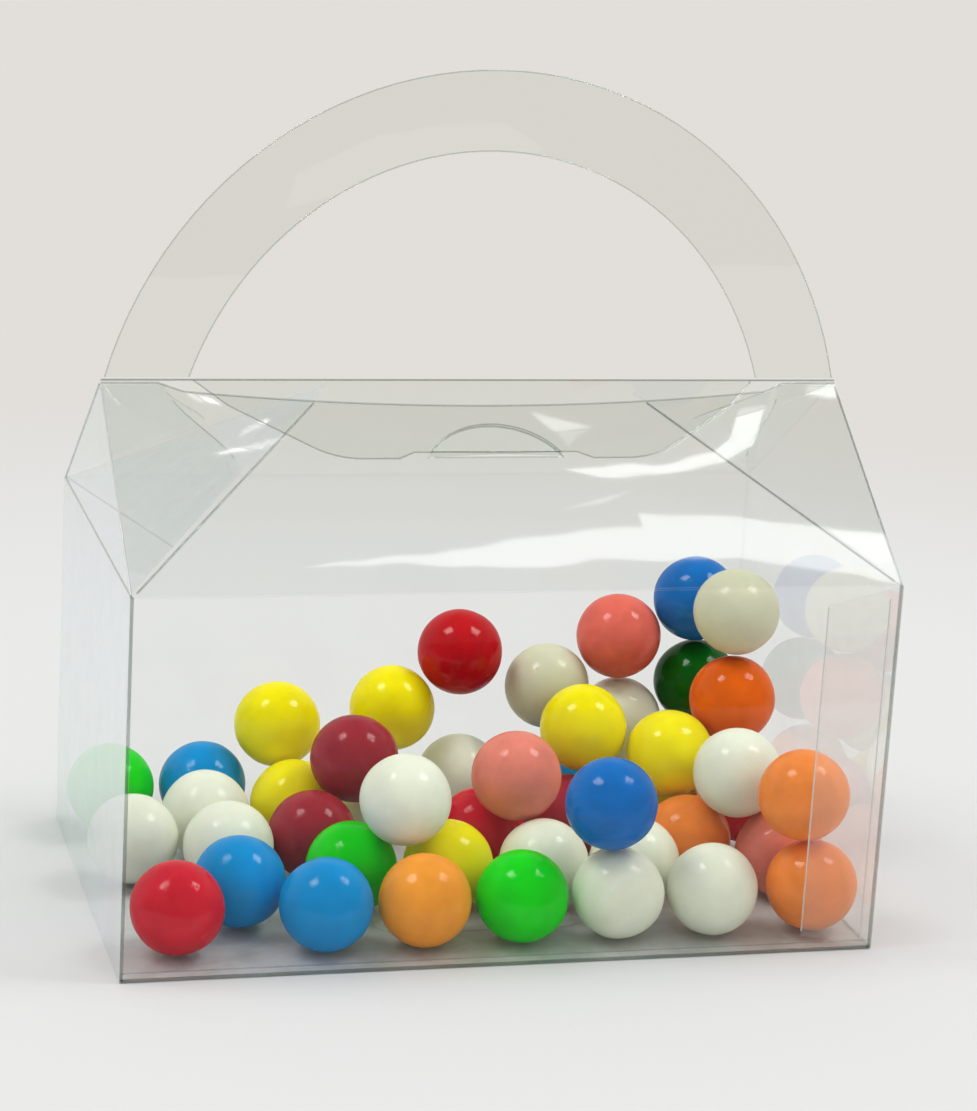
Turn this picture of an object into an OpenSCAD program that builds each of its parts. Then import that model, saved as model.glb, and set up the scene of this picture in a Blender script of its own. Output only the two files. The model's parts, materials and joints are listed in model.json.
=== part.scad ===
// Clear gable favour box with a carry handle, filled with gumballs.
// The box is one die-cut sheet, folded up: every crease is a living hinge, and
// every panel between creases is a piece of its own here.
// Frame: origin at the centre of the base, X along the box, -Y the front, Z up.

/* [Box] */
// Outside width of the box, left to right
box_w = 203.2; // [180:0.1:230]
// Outside depth of the box, front to back
box_d = 123.8; // [112:0.1:136]
// Height of the upright walls, up to the eave creases
wall_h = 101.6; // [85:0.1:125]
// Height of the ridge above the eave creases
gable_rise = 41; // [30:0.5:50]
// Width of the glue flap on the seam inside the front wall
seam_w = 20; // [12:0.5:26]

/* [Sheet] */
// Thickness of the clear sheet
sheet_t = 0.3; // [0.25:0.05:0.4]
// Width of the crease left free between two hinged panels
crease_gap = 0.6; // [0.5:0.05:0.8]
// Air between two layers that lie over each other
layer_gap = 0.3; // [0.2:0.05:0.4]

/* [Gusset] */
// How far down the roof the flank's trimmed edge meets the gusset crease
flank_cut = 32.5; // [26:0.5:38]
// How far in from the side the flank still reaches at the ridge
flank_top_w = 17; // [10:0.5:24]
// Angle shaved off the gusset beside each flank, so that both can swing
gusset_ease = 3; // [2.6:0.1:4]

/* [Roof] */
// Sag of the long shallow scoop in the front roof's top edge
scoop_depth = 5.2; // [3:0.2:8]
// Length of the scoop along the ridge
scoop_w = 160; // [140:1:176]
// How far the ends of the scoop lie below the roof's corners
scoop_shoulder = 3.2; // [1:0.1:4]

/* [Closure] */
// Width of the closure flap at the ridge crease
flap_w = 154; // [120:1:156]
// Depth of the closure flap, ridge to tip
flap_depth = 28.5; // [24:0.5:32]
// Width of the flap's straight tip
flap_tip_w = 86; // [70:1:96]
// Depth of the seat in the flap's tip, where the lock tab holds it
flap_seat = 2.2; // [1:0.1:3]
// Width of the half-moon lock tab
lock_w = 36; // [28:1:42]
// Height of the half-moon lock tab
lock_h = 11; // [8:0.5:12]

/* [Handle] */
// Height of the handle above the ridge crease
handle_rise = 83.8; // [60:0.2:100]
// Width of the handle strip
handle_strip = 21.3; // [16:0.1:26]
// How far the centre of the handle's curve lies below the ridge crease
handle_drop = 29; // [15:0.5:36]
// Half width of the handle's outer curve at its widest
handle_reach = 104; // [98:0.2:105]
// Air between the ridge crease and the handle's feet, so that it can fold back
handle_foot = 0.8; // [0.7:0.1:2]
// Forward lean of the handle, in degrees from upright
handle_lean = 5; // [0:1:12]

/* [Bottom] */
// Reach of the side flaps under the floor
side_flap_reach = 56; // [40:1:66]
// Width of the locking tongue
tongue_w = 62; // [40:1:80]
// Length of the tongue that lies on the inner flap
tongue_reach = 18; // [12:1:24]

/* [Gumballs] */
// Diameter of a gumball
ball_d = 25.4; // [22:0.1:27]
// Air between neighbouring gumballs
ball_gap = 0.05; // [0.05:0.05:0.2]

/* [Hidden] */
$fn = 64;
eps = 0.01;

CLEAR = [0.86, 0.92, 0.93, 0.35];
CLEAR_EDGE = [0.78, 0.88, 0.9, 0.45];
PAINTS = [
    ["white", [0.94, 0.93, 0.88]],
    ["red", [0.78, 0.05, 0.1]],
    ["maroon", [0.48, 0.08, 0.2]],
    ["pink", [0.92, 0.42, 0.45]],
    ["orange", [0.96, 0.42, 0.13]],
    ["peach", [0.95, 0.58, 0.3]],
    ["yellow", [0.93, 0.84, 0.05]],
    ["green", [0.05, 0.68, 0.15]],
    ["blue", [0.03, 0.38, 0.75]],
];

// ---- creases: every hinged panel turns about the middle of its sheet ----
eave_y = box_d / 2 - sheet_t / 2;
eave_x = box_w / 2 - sheet_t / 2;
roof_pitch = atan(gable_rise / eave_y);
slope = gable_rise / sin(roof_pitch);
ridge_z = wall_h + gable_rise;
half_crease = crease_gap / 2;

// One layer of sheet and the air above it
lay = sheet_t + layer_gap;
// The closure flap lies one layer above the front roof, so its crease sits a
// little past the ridge, on the back roof's own plane.
ridge_over = lay / sin(2 * roof_pitch);
ridge_crease = [-ridge_over * cos(roof_pitch), ridge_z + ridge_over * sin(roof_pitch)];
// The diagonal gusset crease runs from the wall corner to the ridge.
gusset_slant = atan(slope / eave_y);

// ---- outline helpers ----
function arc(centre, r, from, to, steps = 24) =
    [for (i = [0:steps]) centre + r * [cos(from + (to - from) * i / steps), sin(from + (to - from) * i / steps)]];
function mirrored(pts) = [for (i = [len(pts) - 1:-1:0]) [-pts[i].x, pts[i].y]];
// A corner rounded to radius r between its two neighbours
function unit(v) = v / norm(v);
function rounded(before, corner, after, r, steps = 10) =
    let (
        u = unit(before - corner),
        v = unit(after - corner),
        half = acos(u * v) / 2,
        centre = corner + unit(u + v) * r / sin(half),
        p = corner + u * r / tan(half) - centre,
        q = corner + v * r / tan(half) - centre,
        from = atan2(p.y, p.x),
        swing = atan2(p.x * q.y - p.y * q.x, p * q)
    )
    arc(centre, r, from, from + swing, steps);

module sheet(pts) {
    translate([0, 0, -sheet_t / 2])
        linear_extrude(sheet_t)
            polygon(pts);
}

// ---- places of the folded panels ----
// Local x runs along the crease, local y up the panel from its crease.
module on_front_roof() {
    translate([0, -eave_y, wall_h])
        rotate([roof_pitch, 0, 0])
            children();
}
module on_back_roof() {
    mirror([0, 1, 0])
        on_front_roof()
            children();
}
module on_left_gusset() {
    translate([-eave_x, 0, wall_h])
        rotate([0, 0, -90])
            rotate([roof_pitch, 0, 0])
                children();
}
module at_ridge_crease() {
    translate([0, ridge_crease.x, ridge_crease.y])
        children();
}

// ---- walls: one band of sheet, mitred at the four upright folds ----
wall_top = wall_h - half_crease;

module long_wall() {
    outer = [box_w / 2, box_d / 2];
    inner = outer - [sheet_t, sheet_t];
    linear_extrude(wall_top)
        polygon([[-outer.x, -outer.y], [outer.x, -outer.y], [inner.x, -inner.y], [-inner.x, -inner.y]]);
}
module short_wall() {
    outer = [box_w / 2, box_d / 2];
    inner = outer - [sheet_t, sheet_t];
    linear_extrude(wall_top)
        polygon([[-outer.x, -outer.y], [-inner.x, -inner.y], [-inner.x, inner.y], [-outer.x, outer.y]]);
}
module front_wall() {
    color(CLEAR) long_wall();
}
module back_wall() {
    color(CLEAR) mirror([0, 1, 0]) long_wall();
}
module left_wall() {
    color(CLEAR) short_wall();
}
module right_wall() {
    color(CLEAR) mirror([1, 0, 0]) short_wall();
}

// The glue flap is the right wall's last fold, stuck to the front wall's inside.
seam_top_slant = 5;
seam_bottom_slant = 3;
module glue_flap() {
    inner_x = box_w / 2 - sheet_t;
    bottom = floor_z + layer_gap;
    color(CLEAR_EDGE)
        translate([inner_x, -box_d / 2 + 2 * sheet_t, 0])
            rotate([90, 0, 0])
                linear_extrude(sheet_t)
                    polygon([
                        [0, bottom],
                        [0, wall_top],
                        [-seam_w, wall_top - seam_top_slant],
                        [-seam_w, bottom + seam_bottom_slant],
                    ]);
}

// ---- bottom: four flaps in three layers, with a tongue that locks them ----
inner_half_w = box_w / 2 - sheet_t;
inner_half_d = box_d / 2 - sheet_t;
outer_flap_reach = 0.62 * box_d;
inner_flap_reach = 0.66 * box_d;
flap_clip = 9;
outer_flap_z = 0;
side_flap_z = sheet_t;
inner_flap_z = 2 * sheet_t;
tongue_z = 3 * sheet_t;
floor_z = 4 * sheet_t;

// Outermost flap, from the back wall, drawn with its tongue
tongue_start = inner_half_d - outer_flap_reach;
tongue_rise_len = 6;
module outer_bottom_flap() {
    edge = inner_half_w - layer_gap;
    color(CLEAR_EDGE) {
        linear_extrude(sheet_t)
            polygon([
                [-edge, inner_half_d],
                [edge, inner_half_d],
                [edge - flap_clip, tongue_start],
                [-edge + flap_clip, tongue_start],
            ]);
        locking_tongue();
    }
}
// The tongue climbs through the recess and lies on the inner flap.
module locking_tongue() {
    climb = tongue_start - tongue_rise_len;
    tip = climb - tongue_reach;
    step = sheet_t * 1.02;
    intersection() {
        translate([-tongue_w / 2, 0, 0])
            rotate([90, 0, 90])
                linear_extrude(tongue_w)
                    polygon([
                        [tongue_start + eps, outer_flap_z],
                        [tongue_start + eps, sheet_t],
                        [tongue_start - step, sheet_t],
                        [climb, floor_z],
                        [tip, floor_z],
                        [tip, tongue_z],
                        [climb, tongue_z],
                        [tongue_start - step, outer_flap_z],
                    ]);
        linear_extrude(floor_z)
            polygon(concat(
                [[-tongue_w / 2, tongue_start + eps]],
                rounded([-tongue_w / 2, climb], [-tongue_w / 2 + 3, tip], [0, tip], 8),
                mirrored(rounded([-tongue_w / 2, climb], [-tongue_w / 2 + 3, tip], [0, tip], 8)),
                [[tongue_w / 2, tongue_start + eps]]
            ));
    }
}
// Innermost flap, from the front wall, with the recess that takes the tongue
module inner_bottom_flap() {
    edge = inner_half_w - layer_gap;
    end_y = -inner_half_d + inner_flap_reach;
    recess_half = tongue_w / 2 + 6;
    recess_floor = tongue_start - tongue_rise_len - 2 * layer_gap;
    color(CLEAR)
        translate([0, 0, inner_flap_z])
            linear_extrude(sheet_t)
                polygon([
                    [-edge, -inner_half_d + sheet_t],
                    [edge - seam_w, -inner_half_d + sheet_t],
                    [edge, -inner_half_d + sheet_t],
                    [edge - flap_clip, end_y],
                    [recess_half + flap_clip, end_y],
                    [recess_half, recess_floor],
                    [-recess_half, recess_floor],
                    [-recess_half - flap_clip, end_y],
                    [-edge + flap_clip, end_y],
                ]);
}
// Side flaps lie between the two, their corners clipped
module side_bottom_flap() {
    half = inner_half_d - layer_gap - sheet_t;
    color(CLEAR)
        translate([-inner_half_w, 0, side_flap_z])
            linear_extrude(sheet_t)
                polygon([
                    [0, -half],
                    [0, half],
                    [side_flap_reach - flap_clip, half - 2 * flap_clip],
                    [side_flap_reach, half - 4 * flap_clip],
                    [side_flap_reach - flap_clip, -half + 2 * flap_clip],
                ]);
}
module left_bottom_flap() {
    side_bottom_flap();
}
module right_bottom_flap() {
    mirror([1, 0, 0]) side_bottom_flap();
}

// ---- roof panels ----
roof_half_w = box_w / 2 - sheet_t;
// The front roof stops just short of the ridge, clear of the back roof.
front_top = slope - lay - half_crease;
// The lock tab's crease, just below the closure flap's tip
lock_joggle = 0.6;
lock_y = slope - flap_depth + flap_seat - crease_gap - lock_joggle - 2 * layer_gap;

function scoop_arc() =
    let (
        half = scoop_w / 2,
        r = (half * half + scoop_depth * scoop_depth) / (2 * scoop_depth),
        spread = asin(half / r)
    )
    arc([0, front_top - scoop_shoulder - scoop_depth + r], r, -90 + spread, -90 - spread, 40);

// Half moon with its free edge up the slope; ease widens it for the slit
function half_moon(ease = 0) =
    let (
        half = lock_w / 2,
        r = (half * half + lock_h * lock_h) / (2 * lock_h),
        spread = asin(half / r)
    )
    concat(
        [[half + ease, lock_y]],
        arc([0, lock_y + lock_h - r], r + ease, 90 - spread, 90 + spread, 24),
        [[-half - ease, lock_y]]
    );

module front_roof() {
    corner_x = scoop_w / 2 + 2 * scoop_shoulder;
    color(CLEAR)
        on_front_roof()
            difference() {
                sheet(concat(
                    [[-roof_half_w, half_crease], [roof_half_w, half_crease], [roof_half_w, front_top]],
                    [[corner_x, front_top]],
                    scoop_arc(),
                    [[-corner_x, front_top], [-roof_half_w, front_top]]
                ));
                translate([0, 0, -sheet_t])
                    linear_extrude(2 * sheet_t)
                        polygon(half_moon(layer_gap));
            }
}
module back_roof() {
    top = slope + ridge_over - half_crease;
    color(CLEAR)
        on_back_roof()
            sheet([
                [-roof_half_w, half_crease],
                [roof_half_w, half_crease],
                [roof_half_w, top],
                [-roof_half_w, top],
            ]);
}

// ---- gusset: a sunken centre panel and two flanks under the roofs ----
// The flank's crease side stands off the diagonal so that the sheets clear.
flank_stand_off = 2 * lay;
// Lowest point of the flank, kept clear of the wall corner
flank_foot = 6;
flank_hinge_x = -roof_half_w;

// Point on the diagonal crease at a height up the slope, moved sideways
function on_diagonal(y, aside = 0) = [-eave_x + y / tan(gusset_slant) - aside, y];

module gusset_flank() {
    aside = flank_stand_off / sin(gusset_slant);
    cut = on_diagonal(slope - flank_cut, aside);
    top = slope - 2 * lay;
    brow = [flank_hinge_x + flank_top_w, top];
    knee = [(cut.x + brow.x) / 2 + 1, (cut.y + brow.y) / 2];
    side = flank_hinge_x + half_crease;
    foot = on_diagonal(flank_foot + aside * tan(gusset_slant), aside);
    translate([0, 0, -lay])
        sheet(concat(
            [[side, foot.y + 1], foot, cut],
            [for (i = [1:11]) smooth_edge(cut, brow, i / 12)],
            [brow, [side, top]]
        ));
}
// S-shaped trim between two points: flat at both ends, steep in the middle
function smooth_edge(from, to, share) =
    let (eased = share * share * (3 - 2 * share))
    [from.x + (to.x - from.x) * eased, from.y + (to.y - from.y) * share];

// Centre panel, crease side down; its tongue runs up to the ridge
module gusset_centre() {
    tip_ease = 2 * lay;
    wing_y = slope - flank_cut;
    slant_wing = gusset_slant - gusset_ease;
    wing_drop = wing_y / tan(slant_wing) + tip_ease;
    tongue_drop = on_gusset_edge(wing_y + 3) + tip_ease;
    left = [
        [-eave_y + tip_ease + half_crease, half_crease],
        [-eave_y + wing_drop, wing_y],
        [-eave_y + tongue_drop, wing_y + 3],
        [-tip_ease, slope - tip_ease * tan(gusset_slant) - tip_ease],
    ];
    sheet(concat(left, mirrored(left)));
}
function on_gusset_edge(y) = y / tan(gusset_slant);

module left_gusset_panel() {
    color(CLEAR) on_left_gusset() gusset_centre();
}
module right_gusset_panel() {
    color(CLEAR) mirror([1, 0, 0]) on_left_gusset() gusset_centre();
}
module left_front_flank() {
    color(CLEAR_EDGE) on_front_roof() gusset_flank();
}
module right_front_flank() {
    color(CLEAR_EDGE) mirror([1, 0, 0]) on_front_roof() gusset_flank();
}
module left_back_flank() {
    color(CLEAR_EDGE) on_back_roof() gusset_flank();
}
module right_back_flank() {
    color(CLEAR_EDGE) mirror([1, 0, 0]) on_back_roof() gusset_flank();
}

// ---- handle: an arched strip on the ridge crease ----
handle_outer = [handle_reach, handle_rise + handle_drop];
handle_inner = handle_outer - [handle_strip, handle_strip];
// An arch from its right foot over the top to its left foot
function arch(radii, drop, foot, steps = 48) =
    let (start = asin((drop + foot) / radii.y))
    [
        for (i = [0:steps])
            let (a = start + (180 - 2 * start) * i / steps)
            [radii.x * cos(a), radii.y * sin(a) - drop]
    ];

module handle() {
    color(CLEAR_EDGE)
        at_ridge_crease()
            rotate([90 + handle_lean, 0, 0])
                sheet(concat(
                    arch(handle_outer, handle_drop, handle_foot),
                    mirrored(arch(handle_inner, handle_drop, handle_foot))
                ));
}

// ---- closure flap: cut from the handle's opening, folded over the front ----
module closure_flap() {
    hinge = flap_w / 2;
    tip = flap_tip_w / 2;
    seat = lock_w / 2 + 4;
    shoulder = [hinge - 8, 0.33 * flap_depth];
    half = concat(
        [[hinge, half_crease]],
        rounded([hinge, 0], shoulder, [tip, flap_depth], 12),
        rounded(shoulder, [tip, flap_depth], [0, flap_depth], 22),
        [[seat + 2 * flap_seat, flap_depth], [seat, flap_depth - flap_seat]]
    );
    color(CLEAR_EDGE)
        at_ridge_crease()
            rotate([180 + roof_pitch, 0, 0])
                sheet(concat(half, mirrored(half)));
}

// ---- lock tab: the half moon cut in the front roof, lifted over the flap ----
module lock_tab() {
    lift = 2 * lay;
    start = lock_y + crease_gap;
    color(CLEAR_EDGE)
        on_front_roof()
            intersection() {
                translate([-box_w / 2, 0, 0])
                    rotate([90, 0, 90])
                        linear_extrude(box_w)
                            polygon([
                                [start, -sheet_t / 2],
                                [start + lock_joggle, lift - sheet_t / 2],
                                [start + lock_h, lift - sheet_t / 2],
                                [start + lock_h, lift + sheet_t / 2],
                                [start + lock_joggle - sheet_t / 2, lift + sheet_t / 2],
                                [start - sheet_t / 4, sheet_t / 2],
                            ]);
                translate([0, 0, -lay])
                    linear_extrude(4 * lay)
                        polygon(half_moon());
            }
}

// ---- gumballs ----
// Each gumball is dropped at its place: how far along the box and how far
// towards the back its centre comes, in percent of its free way, and its
// colour. It comes to rest on the floor or on the gumballs dropped before it.
GUMBALLS = [
    // whites of the bottom layer
    [69, 0, "white"], [84, 0, "white"], [14, 47, "white"],
    [0, 56, "white"], [13, 74, "white"], [61, 24, "white"],
    [58, 100, "white"], [75.5, 23.5, "white"], [43, 87, "white"],
    // bottom layer, along the front
    [2, 2, "red"], [13, 19.5, "blue"], [24, 0, "blue"],
    [39, 0, "peach"], [54, 0, "green"], [100, 0, "orange"],
    // bottom layer, second row
    [31, 27, "green"], [46, 26, "yellow"], [87, 40, "orange"], [100, 27, "pink"],
    // bottom layer, middle
    [28, 54, "maroon"], [55, 52, "red"], [70, 61, "maroon"],
    [28, 81, "yellow"], [88, 75, "yellow"], [100, 61, "red"],
    // bottom layer, along the back
    [0, 100, "green"], [15, 100, "blue"], [73, 96, "blue"], [96, 100, "orange"],
    // second layer
    [27, 100, "yellow"], [36, 68, "maroon"], [38, 20, "white"],
    [46, 100, "yellow"], [58, 38, "pink"], [67, 0, "blue"],
    [85, 100, "white"], [72, 99, "white"], [86.5, 58, "yellow"],
    [73.5, 68, "yellow"], [93, 32, "white"], [98, 2, "orange"],
    // top of the heap
    [57, 100, "red"], [98, 100, "green"], [84, 100, "pink"],
    [98, 66, "orange"], [98, 68, "white"], [97, 100, "blue"],
];
// The whites of the bottom layer share one node, as a group of solids.
SHARED = 9;

ball_pitch = ball_d + ball_gap;
// Half the way that a gumball's centre is free to move inside the walls
ball_way = [box_w, box_d] / 2 - [1, 1] * (2 * sheet_t + ball_d / 2 + ball_gap);
ball_floor = floor_z + ball_d / 2 + ball_gap;

function ball_spot(i) = [
    ball_way.x * (2 * GUMBALLS[i][0] / 100 - 1),
    ball_way.y * (2 * GUMBALLS[i][1] / 100 - 1),
];
// Height at which a gumball dropped at a spot touches one that already lies
function touch_height(spot, lying) =
    let (away = norm(spot - [lying.x, lying.y]))
    away < ball_pitch ? lying.z + sqrt(ball_pitch * ball_pitch - away * away) : 0;
function drop(spot, heap) =
    [spot.x, spot.y, max(ball_floor, max([for (lying = heap) touch_height(spot, lying)]))];
function pile(i, heap) =
    i == len(GUMBALLS) ? heap : pile(i + 1, concat(heap, [drop(ball_spot(i), heap)]));
first_ball = [ball_spot(0).x, ball_spot(0).y, ball_floor];
HEAP = pile(1, [first_ball]);

function paint(name) = PAINTS[search([name], PAINTS)[0]][1];
function ball_number(i) = len([for (j = [SHARED:i]) if (GUMBALLS[j][2] == GUMBALLS[i][2]) 1]);
function ball_name(i) = str(GUMBALLS[i][2], "_gumball_", ball_number(i));

module gumball(i) {
    color(paint(GUMBALLS[i][2]))
        translate(HEAP[i])
            sphere(d = ball_d);
}
module bottom_white_gumballs() {
    for (i = [0:SHARED - 1]) gumball(i);
}

front_wall();
back_wall();
left_wall();
right_wall();
glue_flap();
outer_bottom_flap();
inner_bottom_flap();
left_bottom_flap();
right_bottom_flap();
front_roof();
back_roof();
left_gusset_panel();
right_gusset_panel();
left_front_flank();
right_front_flank();
left_back_flank();
right_back_flank();
handle();
closure_flap();
lock_tab();
bottom_white_gumballs();
for (i = [SHARED:len(GUMBALLS) - 1])
    gumball(i);
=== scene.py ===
# %% [markdown]
# # A clear gable box full of gumballs
#
# The real thing is one die-cut sheet of clear plastic, folded along scored
# creases into a box with a gabled top, a carry handle and a tucked closure flap.
# Inside lies a heap of candy-shelled gumballs.
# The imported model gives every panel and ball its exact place. This file gives
# them their looks: thin film, folded creases, candy shells, a table and lamps.

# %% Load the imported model
import bpy
import bmesh
import json
import math
from mathutils import Matrix, Vector

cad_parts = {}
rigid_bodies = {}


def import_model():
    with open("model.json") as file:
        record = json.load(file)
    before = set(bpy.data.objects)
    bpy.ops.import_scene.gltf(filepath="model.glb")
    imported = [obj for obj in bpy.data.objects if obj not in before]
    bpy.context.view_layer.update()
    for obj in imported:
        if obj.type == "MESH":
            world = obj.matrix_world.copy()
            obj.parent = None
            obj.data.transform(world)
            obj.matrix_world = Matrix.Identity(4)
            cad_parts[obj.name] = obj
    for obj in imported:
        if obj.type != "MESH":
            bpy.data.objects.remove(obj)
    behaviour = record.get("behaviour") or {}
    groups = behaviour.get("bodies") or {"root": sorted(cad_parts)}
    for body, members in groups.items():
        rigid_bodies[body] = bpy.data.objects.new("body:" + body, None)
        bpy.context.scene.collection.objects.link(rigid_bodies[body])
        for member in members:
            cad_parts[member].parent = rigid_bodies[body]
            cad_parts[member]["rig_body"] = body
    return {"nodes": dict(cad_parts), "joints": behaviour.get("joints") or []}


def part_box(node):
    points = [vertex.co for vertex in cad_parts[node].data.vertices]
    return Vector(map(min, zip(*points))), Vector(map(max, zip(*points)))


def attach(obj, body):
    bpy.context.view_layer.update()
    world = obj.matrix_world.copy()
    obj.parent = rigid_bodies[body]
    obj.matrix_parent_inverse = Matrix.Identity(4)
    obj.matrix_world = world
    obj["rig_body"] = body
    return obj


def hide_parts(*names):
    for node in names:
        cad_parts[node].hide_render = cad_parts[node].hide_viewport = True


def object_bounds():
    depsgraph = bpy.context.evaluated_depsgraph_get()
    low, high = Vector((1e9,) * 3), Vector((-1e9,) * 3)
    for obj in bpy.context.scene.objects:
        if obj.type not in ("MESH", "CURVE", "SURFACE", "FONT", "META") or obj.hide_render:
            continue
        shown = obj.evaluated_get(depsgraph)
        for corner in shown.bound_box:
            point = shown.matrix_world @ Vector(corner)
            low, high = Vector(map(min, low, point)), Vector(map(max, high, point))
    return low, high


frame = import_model()
nodes = frame["nodes"]
cad_box = [[round(c, 6) for c in corner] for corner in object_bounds()]

# %% [markdown]
# ## The box in numbers
#
# A few sizes of the folded blank are needed again and again: where the walls
# stand, where the roofs are hinged and how steep they are. The joints in the
# record already hold the hinge points, so they are read from there.

# %% Sizes of the folded blank
joints = {joint["name"]: joint for joint in frame["joints"]}
front_eave = Vector(joints["gable_open"]["pos_m"])
ridge = Vector(joints["handle_fold"]["pos_m"])
tab_crease = Vector(joints["lock_tab_lift"]["pos_m"])
roof_side = Vector(joints["left_front_flank_unfold"]["pos_m"])
front_up = Vector(joints["left_front_flank_unfold"]["axis"])
SHEET = 0.0003
PITCH = math.atan2(front_up.z, front_up.y)
HALF_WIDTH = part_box("front_wall")[1].x
HALF_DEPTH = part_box("left_wall")[1].y
EAVE_Y = abs(front_eave.y)
EAVE_Z = front_eave.z
SLOPE = EAVE_Y / math.cos(PITCH)
APEX_Z = EAVE_Z + SLOPE * math.sin(PITCH)
print(f"the roofs lean by {math.degrees(PITCH):.1f} degrees and meet at {APEX_Z * 1000:.1f} mm")

# %% [markdown]
# ## Camera
#
# The camera stands a little left of the box and looks down on it by fifteen
# degrees. A long lens keeps the upright folds nearly parallel. The camera is
# placed by its position and its three turns, so that its small roll is kept too.

# %% Place the camera
CAMERA_PLACE = (-0.2233, -0.8284, 0.3233)
CAMERA_YAW = 15.46
CAMERA_PITCH = 14.93
CAMERA_ROLL = 3.32
camera_data = bpy.data.cameras.new("studio_camera")
camera_data.sensor_width = 36
camera_data.sensor_fit = "HORIZONTAL"
camera_data.lens = 120.63
camera_data.clip_end = 50
camera = bpy.data.objects.new("studio_camera", camera_data)
bpy.context.scene.collection.objects.link(camera)
bpy.context.scene.camera = camera
turned = Matrix.Rotation(math.radians(-CAMERA_YAW), 4, "Z")
tipped = Matrix.Rotation(math.radians(90 - CAMERA_PITCH), 4, "X")
rolled = Matrix.Rotation(math.radians(CAMERA_ROLL), 4, "Z")
camera.matrix_world = Matrix.Translation(CAMERA_PLACE) @ turned @ tipped @ rolled
print("the camera stands", round(camera.matrix_world.translation.length, 2), "m from the box")

# %% [markdown]
# ## Helpers for node trees
#
# Node trees read better when each node is added in one line with its settings.
# `add` makes a node and sets its properties and unlinked sockets. `join` links an
# output to an input. Every material and every tree below uses the two.
# `new_material` starts each material from an empty tree.


# %% Three helpers
def add(tree, kind, properties=None, **sockets):
    """A new node with these properties and unlinked socket values."""
    node = tree.nodes.new(kind)
    for name, value in (properties or {}).items():
        setattr(node, name, value)
    for name, value in sockets.items():
        node.inputs[name.replace("_", " ")].default_value = value
    return node


def join(tree, start, end):
    """A link from an output socket to an input socket."""
    tree.links.new(start, end)


def new_material(name):
    """An empty node material, its tree and its output node."""
    material = bpy.data.materials.new(name)
    material.use_nodes = True
    material.node_tree.nodes.clear()
    return material, material.node_tree, add(material.node_tree, "ShaderNodeOutputMaterial")


# %% [markdown]
# ## Clear film
#
# A clear sheet shows what lies behind it and mirrors what stands before it. Seen
# square on it mirrors a small share of the light; towards a grazing view the
# share climbs. Each panel is one skin here, so the shader mixes a transparent and
# a glossy shader by that share. Facing, raised to a power, gives the climb, and
# it is the same from both sides of the skin. Pressed sheet is never quite flat, and
# handling leaves faint smears on it. Every film has the two, each in its own
# amount, so they are a node group that all the film materials place.


# %% Node group for the ripples and smears of a sheet
def new_group(name, inputs, outputs):
    """A shader node group with these named inputs and outputs, its input and its output node."""
    group = bpy.data.node_groups.new(name, "ShaderNodeTree")
    for socket_name, kind in inputs.items():
        group.interface.new_socket(socket_name, in_out="INPUT", socket_type="NodeSocket" + kind)
    for socket_name in outputs:
        group.interface.new_socket(socket_name, in_out="OUTPUT", socket_type="NodeSocketFloat")
    return group, add(group, "NodeGroupInput"), add(group, "NodeGroupOutput")


def make_sheet_marks():
    """A group that gives a sheet's ripples as a height, and its smears as a share of haze."""
    sizes = {"Place": "Vector", "Ripple Scale": "Float", "Smear Scale": "Float", "Haze": "Float"}
    group, start, end = new_group("ripples and smears of a sheet", sizes, ("Ripple", "Smear"))
    waves = add(group, "ShaderNodeTexNoise", Detail=2.0, Roughness=0.45)
    join(group, start.outputs["Place"], waves.inputs["Vector"])
    join(group, start.outputs["Ripple Scale"], waves.inputs["Scale"])
    join(group, waves.outputs["Fac"], end.inputs["Ripple"])
    # The smears vary a film's haze. On the left films that haze is a painted sheen, and on the
    # bottom it is partly painted light.
    smears = add(group, "ShaderNodeTexNoise", Detail=5.0, Roughness=0.6)
    join(group, start.outputs["Place"], smears.inputs["Vector"])
    join(group, start.outputs["Smear Scale"], smears.inputs["Scale"])
    uneven = add(group, "ShaderNodeMapRange", From_Min=0.25, From_Max=0.75, To_Min=0.7, To_Max=1.3)
    join(group, smears.outputs["Fac"], uneven.inputs["Value"])
    cover = add(group, "ShaderNodeMath", {"operation": "MULTIPLY"})
    join(group, uneven.outputs["Result"], cover.inputs[0])
    join(group, start.outputs["Haze"], cover.inputs[1])
    join(group, cover.outputs[0], end.inputs["Smear"])
    return group


sheet_marks = make_sheet_marks()
print("made the node group", sheet_marks.name)


# %% The film's material
RIPPLE_DEPTH = 0.00006


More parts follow.
